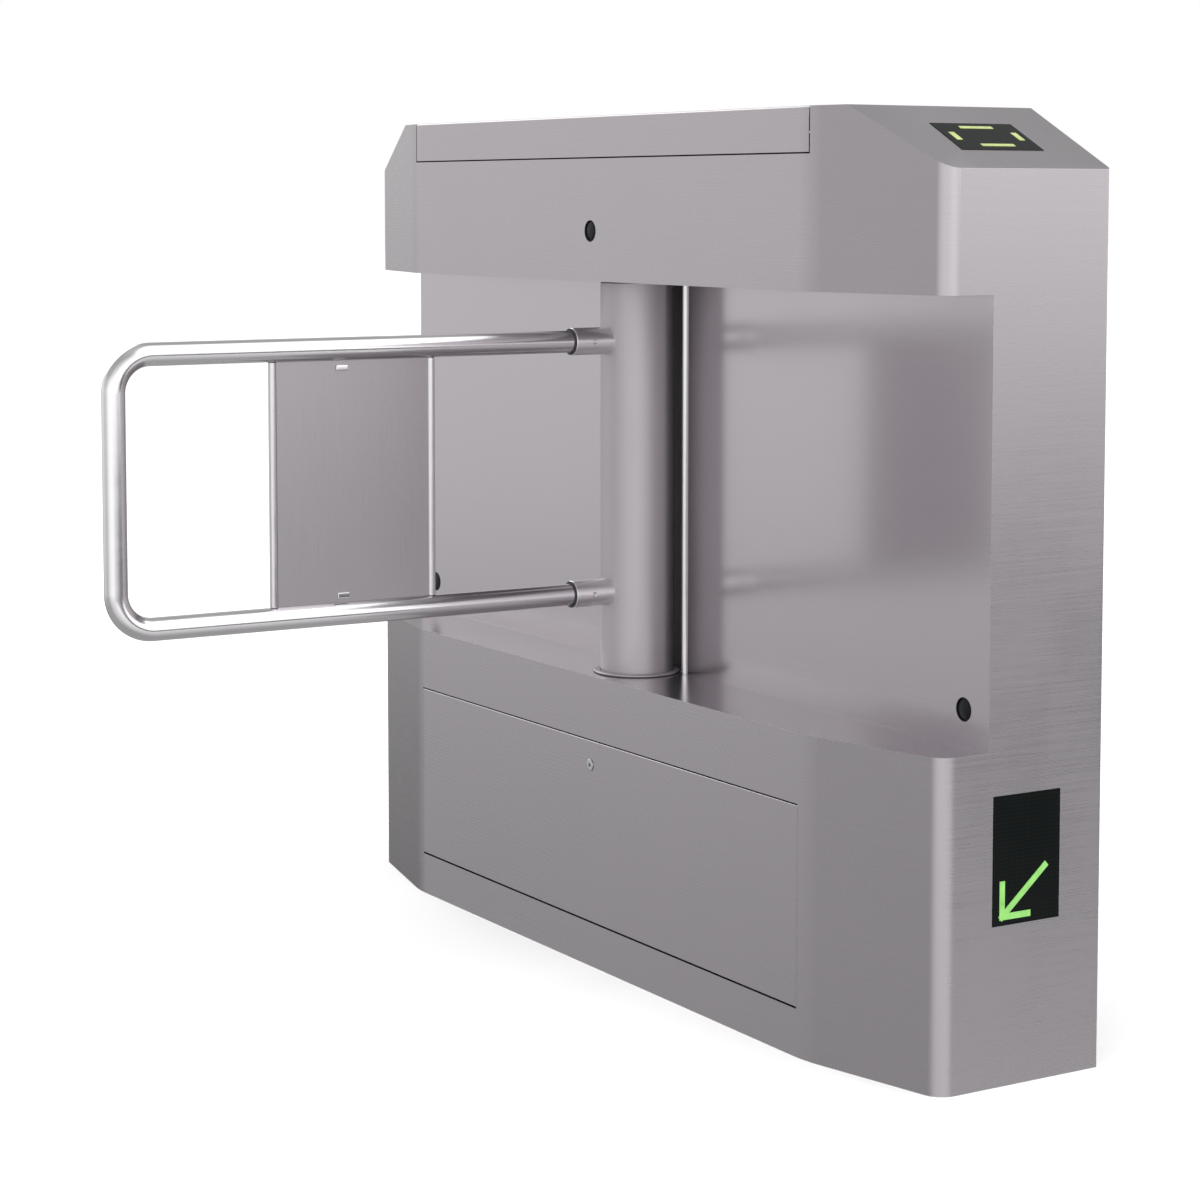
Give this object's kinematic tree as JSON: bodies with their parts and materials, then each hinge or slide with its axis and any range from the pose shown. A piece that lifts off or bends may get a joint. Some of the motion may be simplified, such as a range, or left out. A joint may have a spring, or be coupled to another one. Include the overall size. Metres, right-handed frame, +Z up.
{
  "type": "swing barrier gate",
  "caption": "Bridge-type stainless swing barrier for a visitor entrance: sheet cabinet with a through recess, a powered turning column and a tubular swing arm with a centre panel.",
  "frame": {"origin": "centre of the cabinet's footprint, on the floor; it is also the centre of the anchor holes", "axes": "+X along the cabinet, +Z up, -Y towards the passage that the arm closes"},
  "size_m": [1.2022, 0.8424, 0.98],
  "materials": {
    "brushed_casing": "vertical brushed stainless sheet",
    "brushed_column": "fine brushed stainless tube",
    "brushed_panel": "brushed stainless sheet",
    "polished_tube": "polished stainless tube",
    "zinc_steel": "zinc-plated mild steel",
    "machined_steel": "turned and ground steel",
    "hinge_steel": "pressed stainless hinge",
    "cast_housing": "cast and machined aluminium",
    "black_rubber": "matt black rubber",
    "black_sheet": "black powder coat",
    "motor_black": "black enamel",
    "black_plastic": "moulded black plastic",
    "smoked_window": "smoked acrylic",
    "green_light": "lit green lens",
    "yellow_light": "lit yellow-green lens",
    "circuit_board": "solder-masked circuit board",
    "terminal_green": "moulded terminal plastic",
    "brass_disc": "etched brass sheet"
  },
  "bodies": {
    "cabinet": {"base_plate": "zinc_steel", "cable_grommet": "black_rubber", "frame_posts": "zinc_steel", "frame_rails": "zinc_steel", "lower_shell": "brushed_casing", "deck_plate": "brushed_casing", "recess_wall": "brushed_casing", "spine_ends": "brushed_casing", "column_bay": "black_sheet", "bay_trims": "polished_tube", "soffit_plate": "brushed_casing", "upper_shell": "brushed_casing", "rear_panel": "brushed_casing", "rear_screws": "machined_steel", "base_ring": "black_rubber", "lower_bearing_plate": "zinc_steel", "lower_bearing_housing": "cast_housing", "lower_bearing": "machined_steel", "stop_blocks": "zinc_steel", "stop_buffers": "black_rubber", "brake_body": "motor_black", "mechanism_plate": "zinc_steel", "upper_bearing_housing": "cast_housing", "upper_bearing": "machined_steel", "motor_bracket": "zinc_steel", "gearbox": "cast_housing", "drive_motor": "motor_black", "sensor_bracket": "zinc_steel", "position_sensors": "black_plastic", "equipment_plate": "zinc_steel", "power_supply": "cast_housing", "control_board": "circuit_board", "terminal_strip": "terminal_green", "door_hinge_posts": "zinc_steel", "door_hinge_pins": "machined_steel", "lid_hinge_leaves": "hinge_steel", "lid_hinge_pins": "machined_steel", "arrow_windows": "smoked_window", "arrow_symbols": "green_light", "arrow_boards": "circuit_board", "status_windows": "smoked_window", "status_bars": "yellow_light", "status_boards": "circuit_board", "fascia_sensor": "black_plastic", "wall_sensors": "black_plastic"},
    "column": {"swing_column": "brushed_column", "column_caps": "zinc_steel", "main_shaft": "machined_steel", "arm_sockets": "polished_tube", "arm_tube": "polished_tube", "socket_screws": "machined_steel", "arm_panel": "brushed_panel", "panel_channels": "polished_tube", "panel_clips": "polished_tube", "drive_wheel": "machined_steel", "position_disc": "brass_disc", "stop_lever": "machined_steel"},
    "pinion": {"drive_pinion": "machined_steel"},
    "lid": {"top_lid": "brushed_casing"},
    "door": {"access_door": "brushed_casing"},
    "door_lock": {"door_lock": "machined_steel"}
  },
  "joints": [
    {"name": "column_swing", "type": "hinge", "parent": "cabinet", "child": "column", "pos_m": [0, -0.06, 0.5], "axis": [0, 0, 1], "range_deg": [-90, 90]},
    {"name": "pinion_spin", "type": "hinge", "parent": "cabinet", "child": "pinion", "pos_m": [0.07, -0.06, 0.832], "axis": [0, 0, 1], "range_deg": [-226, 226]},
    {"name": "lid_hinge", "type": "hinge", "parent": "cabinet", "child": "lid", "pos_m": [0, 0.1269, 0.967], "axis": [-1, 0, 0], "range_deg": [0, 95]},
    {"name": "door_hinge", "type": "hinge", "parent": "cabinet", "child": "door", "pos_m": [0, -0.1165, 0.06], "axis": [1, 0, 0], "range_deg": [0, 90]},
    {"name": "lock_turn", "type": "hinge", "parent": "door", "child": "door_lock", "pos_m": [0, -0.115, 0.236], "axis": [0, -1, 0], "range_deg": [0, 90]}
  ],
  "couplings": [
    {"joint": "pinion_spin", "follows": "column_swing", "ratio": -2.5}
  ]
}
